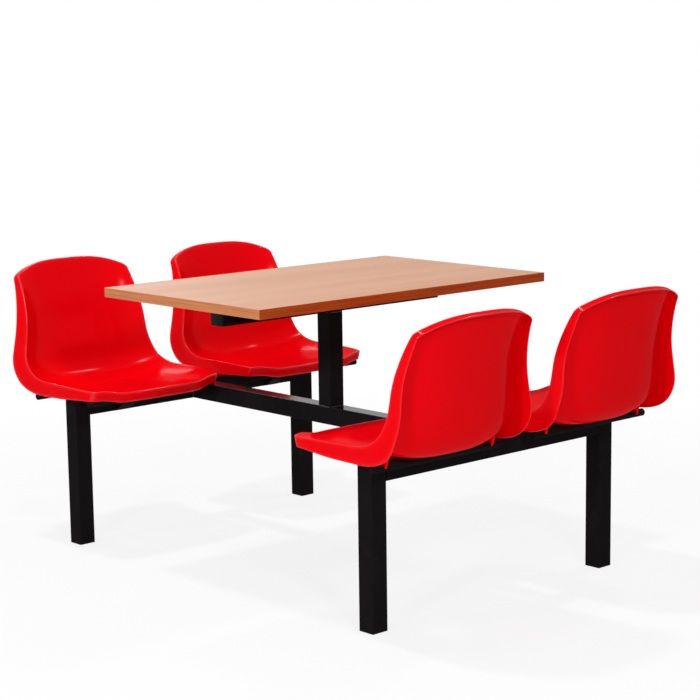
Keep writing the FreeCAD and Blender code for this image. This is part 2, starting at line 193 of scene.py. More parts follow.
def new_material(name):
    """A recipe for a new material."""
    return Recipe(bpy.data.materials.new(name))


print("shader helpers ready")

# %% [markdown]
# ## Red moulded seats
#
# The seats are injection-moulded polypropylene. Such plastic is coloured right through, and the
# polished mould leaves a thin smooth skin on it. A high specular level would show this gloss, but
# in a white studio it would also lay a white veil over the red. So the body itself hardly
# reflects, and a thin coat on it carries the sharp highlights. The gloss is uneven where people
# sit and rub, and the body keeps the faint fine texture of the mould. The rolled rim and the front
# corners are the most polished places, because the mould is finest there and hands run over them:
# an attribute named rim_polish, which the shell's mesh carries, raises the coat on them.

# %% Seat plastic
def seat_plastic():
    """Red body with hardly any reflection, under a coat that is strongest along the rims."""
    recipe = new_material("seat_plastic")
    flow = recipe.noise(3.0, 2.0)
    rubbed = recipe.step(recipe.noise(9.0, 3.0, roughness=0.6), 0.40, 0.80)
    pebble = recipe.noise(1400.0, 1.0)
    rim = recipe.add("ShaderNodeAttribute", {"attribute_name": "rim_polish"}, output="Fac")
    colour = recipe.mix((0.820, 0.0004, 0.0034, 1), (0.880, 0.0008, 0.0052, 1), flow)
    return recipe.finish(
        Base_Color=colour,
        Roughness=0.42 + rubbed * 0.06 + pebble * 0.05,
        IOR=1.49,
        Specular_IOR_Level=0.0,
        Coat_Weight=0.07 - rubbed * 0.02 + rim * 0.62,
        Coat_Roughness=0.16,
        Normal=recipe.bump(pebble, 0.00002))


SEAT_PLASTIC = seat_plastic()
print(SEAT_PLASTIC.name)

# %% [markdown]
# ## Black powder coat
#
# The steel is powder coated: the paint melts and sets in an oven, and its skin keeps a slight
# orange peel of a few millimetres. On faces that lie level in the oven the melt flows out, and
# these are also the faces that get wiped, so they mirror a low light far more than the upright
# ones. The surface normal's upward part tells the two apart. Where feet and bags touch the frame
# the gloss is dulled. The same paint lies thin and smooth on the ripples of a weld bead, so the
# beads get more coat than the flat steel beside them.

# %% Frame paint
def powder_coat(name, smooth_roughness, upright_coat):
    """Paint with the roughness of its cleanest places and the coat of its upright faces."""
    recipe = new_material(name)
    normal = recipe.add("ShaderNodeNewGeometry", output="Normal")
    upward = recipe.step(recipe.add("ShaderNodeSeparateXYZ", None, {0: normal}, "Z"), 0.35, 0.85)
    peel = recipe.noise(260.0, 2.0)
    grit = recipe.noise(1500.0, 1.0)
    dust = recipe.step(recipe.noise(22.0, 5.0, roughness=0.65), 0.48, 0.72)
    colour = recipe.mix((0.0088, 0.0075, 0.0083, 1), (0.0128, 0.0111, 0.0120, 1), dust)
    return recipe.finish(
        Base_Color=colour,
        Roughness=smooth_roughness + peel * 0.06 + dust * 0.08,
        IOR=1.46,
        Specular_IOR_Level=0.0,
        Coat_Weight=upright_coat - dust * 0.02 + upward * 0.75,
        Coat_Roughness=0.18,
        Normal=recipe.bump(peel + grit * 0.3, 0.00007))


FRAME_PAINT = powder_coat("frame_paint", 0.30, 0.035)
WELD_PAINT = powder_coat("weld_metal", 0.26, 0.60)
print(FRAME_PAINT.name, WELD_PAINT.name)

# %% [markdown]
# ## Black plastic
#
# The feet and caps are polyethylene, a soft plastic with a fine grain. It has no coat: its whole
# surface is dull, and it goes lighter and duller where the floor and cleaning cloths wear it.

# %% Black plastic for feet and caps
def black_plastic():
    """A dull black that is lighter and rougher in worn patches."""
    recipe = new_material("black_plastic")
    grain = recipe.noise(900.0, 2.0)
    wear = recipe.step(recipe.noise(35.0, 4.0), 0.5, 0.7)
    colour = recipe.mix((0.0042, 0.0040, 0.0042, 1), (0.0090, 0.0085, 0.0082, 1), wear)
    return recipe.finish(
        Base_Color=colour,
        Roughness=0.42 + wear * 0.12,
        Specular_IOR_Level=0.06,
        Normal=recipe.bump(grain, 0.00008))


BLACK_PLASTIC = black_plastic()
print(BLACK_PLASTIC.name)

# %% [markdown]
# ## Beech laminate
#
# The top is a printed beech pattern under clear melamine. Beech is nearly even in colour, with
# long soft bands along the grain, finer streaks inside them, and the short dark flecks that mark
# this wood. All three are noise stretched along the table by different amounts. The print lies
# under a satin film, so the colour varies but the surface itself is almost flat.

# %% Table laminate
BEECH_LIGHT = (0.637, 0.356, 0.231, 1)
BEECH_MIDDLE = (0.586, 0.310, 0.191, 1)
BEECH_DARK = (0.430, 0.205, 0.116, 1)


def beech_laminate():
    """Bands, streaks and flecks along the x axis, under a satin film."""
    recipe = new_material("top_laminate")
    bands = recipe.noise(1.0, 3.0, (0.9, 11.0, 1.0))
    streaks = recipe.noise(1.0, 4.0, (4.0, 210.0, 1.0), roughness=0.6)
    flecks = recipe.step(recipe.noise(1.0, 1.0, (85.0, 900.0, 1.0)), 0.60, 0.70)
    film = recipe.noise(700.0, 2.0)
    smears = recipe.noise(7.0, 3.0)
    colour = recipe.mix(BEECH_LIGHT, BEECH_MIDDLE, recipe.step(bands, 0.30, 0.70))
    colour = recipe.mix(colour, BEECH_DARK, recipe.step(streaks, 0.50, 0.78) * 0.30)
    colour = recipe.mix(colour, BEECH_DARK, flecks * 0.30)
    return recipe.finish(
        Base_Color=colour,
        Roughness=0.36 + smears * 0.10,
        Specular_IOR_Level=0.03,
        Normal=recipe.bump(film + flecks * -0.5, 0.00003))


TOP_LAMINATE = beech_laminate()
print(TOP_LAMINATE.name)

# %% [markdown]
# ## Edge bands
#
# The edges are closed with thin plastic bands, ironed on. Their print has streaks that run along
# the edge, so the noise is squeezed in height only. That serves the long and the short bands
# alike. The long ones are a deeper, warm brown print, and they are also painted darker: that is
# painted shade on the long edges, which face away from the key lamps. The short ones are close
# to the colour of the top.

# %% Edge bands
EDGE_GRAIN = (5.0, 5.0, 330.0)


def edge_band(name, light, dark):
    """The band's print: streaks along the edge it covers, and a few dark specks."""
    recipe = new_material(name)
    streaks = recipe.noise(1.0, 4.0, EDGE_GRAIN, roughness=0.6)
    specks = recipe.step(recipe.noise(420.0, 2.0), 0.56, 0.70)
    colour = recipe.mix(light, dark, recipe.step(streaks, 0.30, 0.72))
    colour = recipe.mix(colour, dark, specks * 0.25)
    return recipe.finish(
        Base_Color=colour,
        Roughness=0.40 + streaks * 0.10,
        Specular_IOR_Level=0.04,
        Normal=recipe.bump(streaks, 0.00003))


# The long band's colours are its deeper print, darkened further as painted shade on the long
# edges.
LONG_BAND_PAINTED_SHADE = edge_band(
    "edge_band_long_painted_shade", (0.50, 0.100, 0.017, 1), (0.34, 0.056, 0.009, 1))
SHORT_BAND = edge_band(
    "edge_band_short", (0.640, 0.245, 0.108, 1), (0.500, 0.170, 0.068, 1))
print(LONG_BAND_PAINTED_SHADE.name, SHORT_BAND.name)

# %% [markdown]
# ## Inside and underneath
#
# The core is chipboard: pale chips pressed flat, so their noise is finer in height than in plan.
# The sheet below is plain brown paper laminate, which only keeps the board from warping. The
# screws are zinc plated, a metal whose dull stains matter more than its colour.

# %% Board, backing and screws
def particle_board():
    """Light and dark chips with a coarse bump."""
    recipe = new_material("chipboard")
    chips = recipe.noise(220.0, 4.0, (1.0, 1.0, 2.5), roughness=0.7)
    dark = recipe.step(chips, 0.35, 0.65)
    colour = recipe.mix((0.50, 0.34, 0.19, 1), (0.26, 0.16, 0.085, 1), dark)
    return recipe.finish(
        Base_Color=colour, Roughness=0.85, Normal=recipe.bump(chips, 0.0003))


def backing_sheet():
    """Cloudy brown paper with a fine fibre."""
    recipe = new_material("balancing_laminate")
    cloud = recipe.noise(9.0, 4.0)
    fibre = recipe.noise(380.0, 3.0)
    colour = recipe.mix((0.30, 0.235, 0.180, 1), (0.24, 0.185, 0.140, 1), cloud)
    return recipe.finish(
        Base_Color=colour, Roughness=0.55 + fibre * 0.15, Normal=recipe.bump(fibre, 0.00005))


def zinc_plate():
    """Metal that is darker and rougher where it is stained."""
    recipe = new_material("zinc_screws")
    stain = recipe.noise(240.0, 4.0)
    colour = recipe.mix((0.62, 0.62, 0.60, 1), (0.42, 0.43, 0.42, 1), stain)
    return recipe.finish(
        Base_Color=colour, Metallic=1.0, Roughness=0.28 + stain * 0.2,
        Normal=recipe.bump(stain, 0.00004))


CHIPBOARD, BACKING, ZINC = particle_board(), backing_sheet(), zinc_plate()
print(CHIPBOARD.name, BACKING.name, ZINC.name)

# %% [markdown]
# ## Materials for the CAD nodes
#
# Each CAD node already has a material slot named in the record. Assigning to that slot dresses
# the node without touching its mesh. The two kinds of edge band share a slot in the record but
# not a colour, so the node's name picks the print.

# %% Dress the CAD nodes
FINISH_OF_SLOT = {
    "seat_plastic": SEAT_PLASTIC, "frame_paint": FRAME_PAINT, "weld_metal": WELD_PAINT,
    "top_laminate": TOP_LAMINATE, "edge_band": LONG_BAND_PAINTED_SHADE, "chipboard": CHIPBOARD,
    "balancing_laminate": BACKING, "black_plastic": BLACK_PLASTIC, "zinc_screws": ZINC,
}
SLOT_OF_NODE = {part["node"]: part["material_slot"] for part in frame["record"]["subparts"]}


def finish_for(node):
    """The material of a CAD node."""
    if node.startswith("edge_band_short"):
        return SHORT_BAND
    return FINISH_OF_SLOT[SLOT_OF_NODE[node]]


for node, thing in nodes.items():
    thing.data.materials.clear()
    thing.data.materials.append(finish_for(node))
print("dressed", len(nodes), "nodes")

# %% [markdown]
# ## Surfaces from arrays
#
# Seats, rods, beads and screws are closed skins made of rings: each ring is a closed loop of
# points, and the rings follow one another from one pole to the other, where the skin closes in a
# single point. A turned rod and a hollow seat shell are both skins of this kind. The points are
# one array of shape (rings, points, 3), so the faces are worked out for the whole array at once.

# %% A skin from rings
def skin_faces(rings, count, base):
    """Quads between neighbouring rings, then two fans that close the poles."""
    near = np.arange(count)
    far = np.roll(near, -1)
    first = base + count * np.arange(rings - 1)[:, None]
    quads = np.stack([first + near, first + far, first + count + far, first + count + near], -1)
    start, end = base + rings * count, base + rings * count + 1
    last = base + (rings - 1) * count
    fans = np.concatenate([
        np.stack([np.full(count, start), base + far, base + near], -1),
        np.stack([np.full(count, end), last + near, last + far], -1)])
    return quads.reshape(-1, 4), fans


def make_piece(name, skins, material, replaced=()):
    """One object from closed skins. Each skin is (rings, first pole, last pole)."""
    points, faces = [], []
    base = 0
    for rings, first_pole, last_pole in skins:
        rows, count = rings.shape[:2]
        quads, fans = skin_faces(rows, count, base)
        points += [rings.reshape(-1, 3), np.array([first_pole, last_pole])]
        faces += quads.tolist() + fans.tolist()
        base += rows * count + 2
    mesh = bpy.data.meshes.new(name)
    mesh.from_pydata(np.concatenate(points).tolist(), [], faces)
    mesh.polygons.foreach_set("use_smooth", [True] * len(faces))
    mesh.materials.append(material)
    mesh.update()
    piece = bpy.data.objects.new(name, mesh)
    bpy.context.scene.collection.objects.link(piece)
    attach(piece, "root")
    if replaced:
        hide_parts(*replaced)
    return piece


print("skin helper ready")

# %% [markdown]
# ## The seat's guide curves
#
# The shell follows three curves that run from the front edge of the seat to the top of its back:
# the centre line, the rim, and the free edge of the skirt that hangs outside the rim. A handful
# of stations fixes them, as ribs fix a hull, and a cubic spline joins the stations. Distances
# are in millimetres: forward towards the table, and height above the floor.

# %% Stations and splines
SEAT_STATIONS = np.array([
    # centre: forward, height   rim: half width, forward, height   skirt: outward, forward, up
    (193.0, 461.0, 218.0, 163.0, 471.0, 1.0, -10.0, -29.0),
    (133.0, 455.0, 226.0, 109.0, 474.0, 1.0, -12.0, -33.0),
    (63.0, 447.0, 228.0, 48.0, 476.0, 1.0, -15.0, -40.0),
    (-24.0, 442.0, 227.0, -35.0, 477.0, 1.0, -30.0, -44.0),
    (-100.0, 439.0, 227.0, -90.0, 482.0, 2.0, -46.0, -43.0),
    (-152.0, 441.0, 225.0, -133.0, 501.0, 6.0, -55.0, -35.0),
    (-192.0, 463.0, 221.0, -155.0, 529.0, 11.0, -55.0, -22.0),
    (-217.0, 520.0, 213.0, -164.0, 565.0, 10.0, -53.0, -12.0),
    (-229.0, 600.0, 204.0, -169.0, 627.0, 9.0, -46.0, -5.0),
    (-244.0, 699.0, 194.0, -197.0, 709.0, 6.0, -34.0, -5.0),
    (-266.0, 796.0, 192.0, -230.0, 759.0, 2.0, -20.0, -7.0),
])
CENTRE_FORWARD, CENTRE_HEIGHT, HALF_WIDTH, RIM_FORWARD, RIM_HEIGHT = range(5)   # columns
SKIRT_OUT, SKIRT_FORWARD, SKIRT_UP = range(5, 8)
centre_line = SEAT_STATIONS[:, [CENTRE_FORWARD, CENTRE_HEIGHT]]
rim_line = SEAT_STATIONS[:, [RIM_FORWARD, RIM_HEIGHT]]
centre_steps = np.linalg.norm(np.diff(centre_line, axis=0), axis=1)
rim_steps = np.linalg.norm(np.diff(rim_line, axis=0), axis=1)
STATION_DISTANCE = np.concatenate([[0.0], np.cumsum((centre_steps + rim_steps) / 2)])
SEAT_LENGTH = STATION_DISTANCE[-1]


def end_slope(knots, values):
    """The slope at the first knot of the cubic that passes the first four values."""
    powers = (knots[:4] - knots[0])[:, None] ** np.arange(4)
    return np.linalg.solve(powers, values[:4])[1]


def smooth_spline(knots, values):
    """A function through the values whose second derivative is linear between the knots.

    The second derivatives solve one small set of linear equations. The slopes at both ends are
    those of a cubic through the four nearest values.
    """
    gap = np.diff(knots)
    rise = np.diff(values, axis=0) / gap[:, None]
    size = len(knots)
    matrix = np.zeros((size, size))
    inner = np.arange(1, size - 1)
    matrix[inner, inner - 1], matrix[inner, inner + 1] = gap[:-1], gap[1:]
    matrix[inner, inner] = 2 * (gap[:-1] + gap[1:])
    matrix[0, :2], matrix[-1, -2:] = (2 * gap[0], gap[0]), (gap[-1], 2 * gap[-1])
    first = rise[0] - end_slope(knots, values)
    last = end_slope(knots[::-1], values[::-1]) - rise[-1]
    second = np.linalg.solve(matrix, 6 * np.vstack([first, np.diff(rise, axis=0), last]))

    def curve(at):
        at = np.clip(at, knots[0], knots[-1])
        i = np.clip(np.searchsorted(knots, at) - 1, 0, size - 2)
        h = gap[i][..., None]
        left = (knots[i + 1] - at)[..., None]
        done = (at - knots[i])[..., None]
        bend = second[i] * left ** 3 + second[i + 1] * done ** 3
        start = (values[i] / h - second[i] * h / 6) * left
        end = (values[i + 1] / h - second[i + 1] * h / 6) * done
        return bend / (6 * h) + start + end

    return curve


guide = smooth_spline(STATION_DISTANCE / SEAT_LENGTH, SEAT_STATIONS)
print("seat length along the sheet", round(SEAT_LENGTH), "mm")

# %% [markdown]
# ## The seat's sheet
#
# A bucket seat is nearly flat across the middle and curls up at the sides. A power of the
# distance from the centre line does just that: the third power stays low for most of the width
# and then rises quickly, with no crease anywhere to break the highlights. The front corners need
# something else, because there the bowl ends inside a square plate: the height goes over to a
# flat pan, a slope and a flat land, while the plan of the sheet keeps its cube.

# %% Sheet and normals
BOWL_POWER = 3.0
LAND_END = 0.2                  # the flat land ends at this share of the length
LAND_SLOPE = (0.55, 0.88)       # where the slope into the pan lies, as shares of the half width


def smooth_step(value, low, high):
    """0 below low, 1 above high, and 3 t squared minus 2 t cubed between."""
    share = np.clip((value - low) / (high - low), 0, 1)
    return share * share * (3 - 2 * share)


def sheet(across, along):
    """Points of the sitter's side. across runs from -1 to 1 and along from 0 to 1.

    The bowl is |across| cubed. The point lies that share of the way from the centre line to the
    rim in plan. Its height follows the bowl too, but blends to a smooth step near the front edge.
    """
    row = guide(along)
    bowl = np.abs(across) ** BOWL_POWER
    land = smooth_step(np.abs(across), *LAND_SLOPE)
    near_front = 1 - smooth_step(along, 0, LAND_END)
    lift = bowl + (land - bowl) * near_front
    centre_forward, centre_height = row[..., CENTRE_FORWARD], row[..., CENTRE_HEIGHT]
    forward = centre_forward + (row[..., RIM_FORWARD] - centre_forward) * bowl
    height = centre_height + (row[..., RIM_HEIGHT] - centre_height) * lift
    return np.stack([across * row[..., HALF_WIDTH], forward, height], -1)


def unit(vectors):
    """Each vector scaled to length 1."""
    return vectors / np.linalg.norm(vectors, axis=-1, keepdims=True)


def sheet_normal(across, along, step=0.001):
    """Unit normals towards the sitter: the cross product of the two small differences."""
    across = np.clip(across, step - 1, 1 - step)
    along = np.clip(along, step, 1 - step)
    over = sheet(across + step, along) - sheet(across - step, along)
    up = sheet(across, along + step) - sheet(across, along - step)
    return unit(np.cross(up, over))


SHEET_MIDDLE = np.array([0.0]), np.array([0.5])
print("middle of the sheet", sheet(*SHEET_MIDDLE)[0].round(1))

# %% [markdown]
# ## The outline and the rolled edge
#
# Seen flat, the shell is a rectangle with small corners at the front and larger ones at the
# shoulders. Every ring of the skin is this outline, shrunk towards the middle of the sheet. At
# the rim the skin leaves the sheet, rolls over in a tight bend, drops down the skirt, turns
# round its thin hem and comes back up inside to run under the sheet, one wall below it.

# %% Shell skin
WALL = 4.0                      # thickness of the sheet, in millimetres
SKIRT_WALL = 3.2
ROLL = 5.0                      # size of the rolled edge
HEM_LENGTH = 1.6                # the skirt stops this far short, and the round hem fills it
HEM_START = 1.2                 # the hem's bend starts this far above the end of the skirt
HEM_ROUNDNESS = 0.6             # how far below it the bend's corner points lie
HEM_DEPTH = 0.4                 # the hem's lowest line, as a share of the skirt's wall
INNER_ROUNDNESS = 1.2           # how far the bend inside the roll is pulled outwards
TOP_END = 0.998                 # the outline ends just short of the last station
FRONT_CORNER = 9.0
SHOULDER_CORNER = 12.0
SHEET_RINGS = 44
ROLL_STEPS, SKIRT_STEPS, HEM_STEPS, INNER_STEPS = 11, 6, 8, 5
OUTLINE_STEPS = {"end": 56, "corner": 16, "side": 96}


def corner_arc(turns, centre, radii):
    """Quarter of an ellipse: centre plus the radii times sine and cosine of the turn."""
    across = centre[0] + radii[0] * np.sin(turns)
    along = centre[1] + radii[1] * np.cos(turns)
    return np.stack([across, along], -1)


def seat_outline():
    """The outline as across and along: front edge, corner, side, shoulder and top, mirrored."""
    first_width, last_width = SEAT_STATIONS[[0, -1], HALF_WIDTH]
    front = np.array([FRONT_CORNER / first_width, FRONT_CORNER / SEAT_LENGTH])
    top = np.array([SHOULDER_CORNER / last_width, SHOULDER_CORNER / SEAT_LENGTH])
    quarter = np.linspace(0, math.pi / 2, OUTLINE_STEPS["corner"] + 1)
    end = np.linspace(0, 1, OUTLINE_STEPS["end"] // 2, endpoint=False)[:, None]
    side = np.linspace(0, 1, OUTLINE_STEPS["side"] + 1)[1:-1, None]
    front_arc = corner_arc(math.pi - quarter, (1 - front[0], front[1]), front)
    top_arc = corner_arc(math.pi / 2 - quarter, (1 - top[0], 1 - top[1]), top)
    front_edge = np.array([[0.0, 0.0]]) * (1 - end) + front_arc[:1] * end
    side_edge = front_arc[-1:] * (1 - side) + top_arc[:1] * side
    top_edge = top_arc[-1:] * (1 - end) + np.array([[0.0, 1.0]]) * end
    half = np.concatenate([front_edge, front_arc, side_edge, top_arc, top_edge[1:], [[0.0, 1.0]]])
    half[:, 1] *= TOP_END
    return np.concatenate([half, half[-2:0:-1] * [-1, 1]])


def bend_through(start, corner, end, steps):
    """A quadratic bend: start and end are met, and the corner between them is cut smoothly."""
    t = np.linspace(0, 1, steps)[:, None, None]
    return start * (1 - t) ** 2 + corner * 2 * t * (1 - t) + end * t ** 2


def seat_skin():
    """All rings of the shell, from the pole on the sheet to the pole below it.

    The sheet's rings are the outline shrunk by even shares. The roll, the hem and the bend inside
    are quadratic bends, and the skirt's two sides are straight lines between them. The underside
    is the sheet moved one wall along its normals.
    """
    outline = seat_outline()
    shrink = np.linspace(0, 1, SHEET_RINGS + 1)[1:, None]
    across = outline[:, 0] * shrink
    along = 0.5 + (outline[:, 1] - 0.5) * shrink
    rim = sheet(across[-1], along[-1])
    reach = np.linalg.norm(rim - sheet(across[-2], along[-2]), axis=1)
    edge_in = 1 - (ROLL / reach / SHEET_RINGS)[None, :]
    across, along = across * edge_in, 0.5 + (along - 0.5) * edge_in
    upper = sheet(across, along)
    under = upper - sheet_normal(across, along) * WALL

    row = guide(outline[:, 1])
    drop = np.stack([
        row[:, SKIRT_OUT] * outline[:, 0], row[:, SKIRT_FORWARD], row[:, SKIRT_UP]], -1)
    down = unit(drop)
    drop = drop - down * HEM_LENGTH
    inward = unit(upper[-1] - rim)
    square_in = unit(inward - down * (inward * down).sum(1, keepdims=True))

    outer_hem = rim + drop
    inner_hem = outer_hem + square_in * SKIRT_WALL
    inner_top = rim + down * (ROLL + WALL) + square_in * SKIRT_WALL
    lowest = (outer_hem + inner_hem) / 2 + down * SKIRT_WALL * HEM_DEPTH
    outer_end, inner_end = outer_hem - down * HEM_START, inner_hem - down * HEM_START
    outer_corner = outer_hem + down * HEM_ROUNDNESS
    inner_corner = inner_hem + down * HEM_ROUNDNESS
    roll_corner = (inner_top + under[-1]) / 2 - square_in * INNER_ROUNDNESS

    fall = np.linspace(0, 1, SKIRT_STEPS + 1)[1:, None, None]
    half_hem = HEM_STEPS // 2 + 1
    roll = bend_through(upper[-1], rim, rim + down * ROLL, ROLL_STEPS)
    skirt = roll[-1] * (1 - fall) + outer_end * fall
    hem_out = bend_through(outer_end, outer_corner, lowest, half_hem)[1:]
    hem_in = bend_through(lowest, inner_corner, inner_end, half_hem)[1:]
    rise = inner_end * (1 - fall) + inner_top * fall
    inner_roll = bend_through(inner_top, roll_corner, under[-1], INNER_STEPS)
    rings = np.concatenate([
        upper, roll[1:], skirt, hem_out, hem_in, rise, inner_roll[1:], under[-2::-1]])
    pole = sheet(*SHEET_MIDDLE)[0]
    return rings, pole, pole - sheet_normal(*SHEET_MIDDLE)[0] * WALL


SEAT_RINGS, SEAT_POLE, SEAT_UNDER_POLE = seat_skin()
print("shell rings", SEAT_RINGS.shape)

# %% [markdown]
# ## Lugs
#
# The shell sits on its two rods with four lugs that are moulded in one with it. Each lug is a
# saddle: it runs down from the sheet on one side of the rod, over the rod, and down again on the
# other side. So it is made as an arch, a small bevelled rectangle that is carried over the rod.
# It tapers downwards, because a moulded lug has to leave its mould. The rear prongs end level
# with the rod's centre, and the front ones higher up, hidden by the skirt.

# %% Lug skin
ROD_RADIUS = 10.0
RODS = {"rear": (-114.0, 425.0), "front": (136.0, 434.0)}   # forward and height of each axis
LUG_OFFSET = 181.0              # from the middle of the seat
LUG_HALF_LENGTH = {"top": 20.0, "tip": 11.8}
LUG_HALF_WIDTH = {"top": 5.0, "tip": 3.6}
LUG_END_TURN = {"rear": 0.0, "front": math.radians(32)}     # 0 is level with the rod's centre
LUG_SIDE_HEIGHT = 5.0           # over this height the outside goes over from tip to top
LUG_BEVEL = 0.7
LUG_STEPS = 33
PAN_HALF_WIDTH = 227.0
PAN_TABLE = np.linspace(0.02, 0.45, 400)        # shares of the length, which reach over both rods


def height_of_sheet(across, forward):
    """Height of the middle of the pan's wall at a forward distance, read off a fine table."""
    across = np.full_like(PAN_TABLE, across)
    line = sheet(across, PAN_TABLE) - sheet_normal(across, PAN_TABLE) * WALL / 2
    return np.interp(-forward, -line[:, 1], line[:, 2])


def lug_skin(offset, rod, end_turn):
    """Sections from one prong's tip over the rod to the other: an inner and an outer point each.

    The inner line is an arc of the rod's circle. The outer line is the lug's straight sides and
    its top, met at the same shares of the way. A section is the rectangle between them, with its
    four corners cut.
    """
    centre = np.array(RODS[rod])
    turn = np.linspace(end_turn, math.pi - end_turn, LUG_STEPS)
    inner = np.stack([ROD_RADIUS * np.cos(turn), ROD_RADIUS * np.sin(turn)], -1)
    lift = np.clip(inner[:, 1] / LUG_SIDE_HEIGHT, 0, 1)
    limit = LUG_HALF_LENGTH["tip"] + (LUG_HALF_LENGTH["top"] - LUG_HALF_LENGTH["tip"]) * lift
    reach = np.clip(2 * inner[:, 0], -limit, limit)
    top = height_of_sheet(offset / PAN_HALF_WIDTH, centre[0] + reach) - centre[1]
    outer = np.stack([reach, top * lift], -1)
    width = np.interp([inner[:, 1], outer[:, 1]], [0, top.mean()],
                      [LUG_HALF_WIDTH["tip"], LUG_HALF_WIDTH["top"]])
    cut = unit(outer - inner) * LUG_BEVEL
    corners = [
        (inner, width[0] - LUG_BEVEL), (inner + cut, width[0]),
        (outer - cut, width[1]), (outer, width[1] - LUG_BEVEL),
        (outer, LUG_BEVEL - width[1]), (outer - cut, -width[1]),
        (inner + cut, -width[0]), (inner, LUG_BEVEL - width[0])]
    rings = np.stack([np.column_stack([offset + x, line + centre]) for line, x in corners], 1)
    tips = (inner[[0, -1]] + outer[[0, -1]]) / 2 + centre - [0, LUG_BEVEL]
    return rings, np.array([offset, *tips[0]]), np.array([offset, *tips[1]])


LUG_SKINS = [
    lug_skin(offset, rod, turn)
    for rod, turn in LUG_END_TURN.items() for offset in (-LUG_OFFSET, LUG_OFFSET)]
print("lug rings", LUG_SKINS[0][0].shape)

# %% [markdown]
# ## Four seats round the table
#
# A seat is worked out once, facing forward from its own datum. The two seats of the far side are
# turned by half a turn, not mirrored, so the skins keep facing outwards. Each seat is written
# straight into its place, because every object has to stay at the origin, unturned. The polish of
# the rims is a number on each point, which the seat plastic reads.

# %% Place the seats
SEAT_PITCH = 562.0              # between the two seats of a side
SEAT_DATUM = 580.0              # from the middle of the table to the datum of a seat
ENDS = {"front": -1, "rear": 1}
SIDES = {"left": 1, "right": -1}


def seat_to_room(points, side, end):
    """Seat millimetres to room metres: half a turn for the left side, then a shift."""
    facing = -SIDES[side]
    turned = np.asarray(points) * [facing, facing, 1]
    return (turned + [ENDS[end] * SEAT_PITCH / 2, SIDES[side] * SEAT_DATUM, 0]) * MM


def place_skins(skins, side, end):
    """Each skin's rings and poles in their place in the room."""
    return [tuple(seat_to_room(part, side, end) for part in skin) for skin in skins]


def half_sine(count):
    """Values that rise from near 0 to 1 and fall again."""
    return np.sin(math.pi * (np.arange(count) + 1) / (count + 1))


def mark_polish(piece):
    """Writes rim_polish: a half sine over the rings of the roll and over those of the hem, another
    round each front corner between them, and 0 everywhere else."""
    polish = np.zeros(SEAT_RINGS.shape[:2])
    roll = SHEET_RINGS - 1
    hem = roll + ROLL_STEPS + SKIRT_STEPS - 1
    polish[roll:roll + ROLL_STEPS] = half_sine(ROLL_STEPS)[:, None]
    polish[hem:hem + HEM_STEPS] = half_sine(HEM_STEPS)[:, None]
    corner = OUTLINE_STEPS["end"] // 2 + np.arange(OUTLINE_STEPS["corner"] + 1)
    for columns in (corner, -corner):
        polish[roll:hem, columns] = np.maximum(polish[roll:hem, columns], half_sine(len(corner)))
    values = np.zeros(len(piece.data.vertices), np.float32)
    values[:polish.size] = polish.ravel()
    layer = piece.data.attributes.new("rim_polish", "FLOAT", "POINT")
    layer.data.foreach_set("value", values)


SHELL_SKINS = [(SEAT_RINGS, SEAT_POLE, SEAT_UNDER_POLE)] + LUG_SKINS
for side in SIDES:
    for end in ENDS:
        node = f"seat_{side}_{end}_shell"
        piece = make_piece(
            f"moulded_seat_{side}_{end}", place_skins(SHELL_SKINS, side, end),
            SEAT_PLASTIC, [node])
        mark_polish(piece)
        print(piece.name, len(piece.data.polygons), "faces")

# %% [markdown]
# ## Round cross rods
#
# The rods are cut from bar and deburred, so each end has a small chamfer that catches the light.
# A turned shape is a profile of distances and radii carried round an axis.

# %% Rods
ROD_LENGTH = 434.0
ROD_CHAMFER = 1.2
ROD_SIDES = 48
ROD_END = [                     # distance from the end face, radius
    (0.0, ROD_RADIUS - ROD_CHAMFER),
    (0.3, ROD_RADIUS - ROD_CHAMFER + 0.1),
    (ROD_CHAMFER, ROD_RADIUS)]
ROD_PROFILE = ROD_END + [(ROD_LENGTH - distance, radius) for distance, radius in ROD_END[::-1]]


def rod_skin(forward, height):
    """Each row of the profile becomes a circle round the rod's level axis: the centre less the
    radius times the cosine of the turn forward and times the sine of it upwards."""
    turn = np.linspace(0, 2 * math.pi, ROD_SIDES, endpoint=False)
    distance, radius = np.array(ROD_PROFILE).T[:, :, None]
    offset = distance - ROD_LENGTH / 2 + 0 * turn
    rings = np.stack([
        offset, forward - radius * np.cos(turn), height - radius * np.sin(turn)], -1)
    return rings, *np.array([[offset[0, 0], forward, height], [offset[-1, 0], forward, height]])


for side in SIDES:
    for end in ENDS:
        for place, (forward, height) in RODS.items():
            rod = rod_skin(forward, height)
            make_piece(
                f"cross_rod_{side}_{end}_{place}", place_skins([rod], side, end),
                FRAME_PAINT, [f"seat_{side}_{end}_{place}_rod"])
print("rods", len(RODS) * len(SIDES) * len(ENDS))

# %% [markdown]
# ## Weld beads
#
# A hand-laid bead is a row of overlapping puddles: its height swells and sinks every couple of
# millimetres, and it wanders a little. The bead is a rod whose radius follows that ripple. It is
# sunk to about half of its thickness into the corner that it joins.

# %% Beads
TUBE = 50.0                     # side of every square tube
TUBE_CORNER = 3.0
BEAM_Y = 610.0                  # from the middle of the table to the middle of a seat beam
BEAM_BOTTOM, BEAM_TOP = 372.0, 422.0
RAIL_BOTTOM = 685.0
BEAD_RADIUS = 3.0
BEAD_TAPER = 4.0                # length of the rounded tips
BEAD_SEED_STEP = 1.7            # moves the ripple of each bead against the one before
BEAD_ROWS, BEAD_SIDES = 90, 20
RIPPLE_PITCH = 2.3
RIPPLE = (0.90, 0.13)           # share of the radius between two puddles, and what a puddle adds
WANDER = ((0.25, 9, 1), (0.15, 23, 2))      # size, waves along the bead, times the seed


